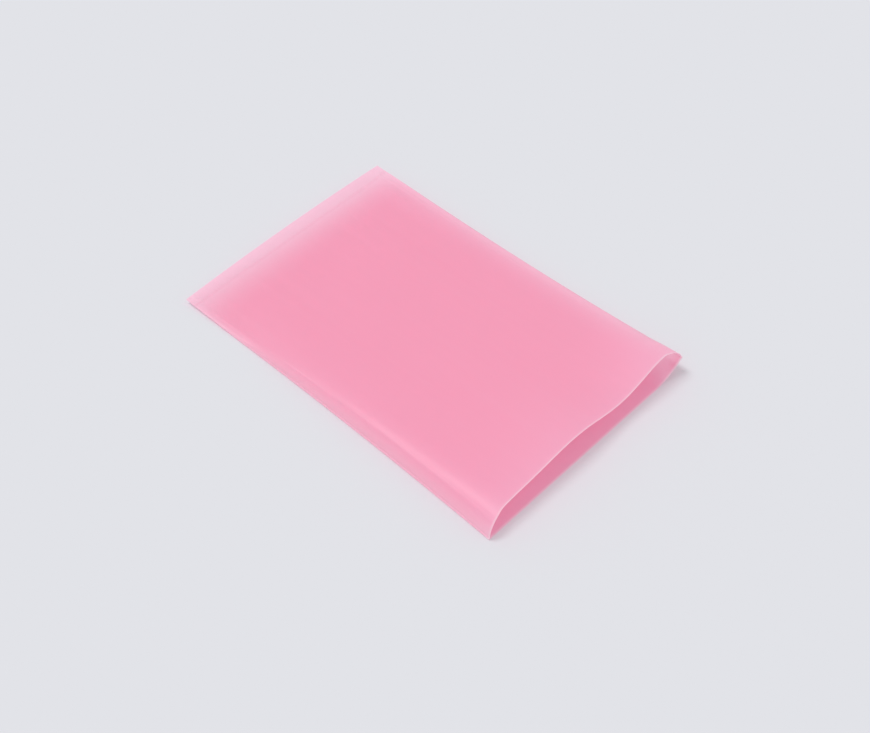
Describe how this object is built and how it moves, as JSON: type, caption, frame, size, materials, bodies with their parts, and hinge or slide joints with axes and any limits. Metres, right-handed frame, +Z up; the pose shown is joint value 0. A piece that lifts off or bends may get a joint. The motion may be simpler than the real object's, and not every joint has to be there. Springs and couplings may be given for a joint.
{
  "type": "conductive bag",
  "caption": "Flat bag of clear pink static-safe film, heat-sealed at one end and open at the other, with its top sheet standing up in a low tent toward the mouth.",
  "frame": {"origin": "centre of the bag's footprint, on the floor it lies on", "axes": "+X along the bag toward its open mouth, +Y toward the side fold that stands off the floor, +Z up"},
  "size_m": [0.3062, 0.2032, 0.0234],
  "materials": {
    "film": "smooth translucent pink film with a soft gloss"
  },
  "bodies": {
    "root": {"film_bag": "film"}
  },
  "joints": []
}
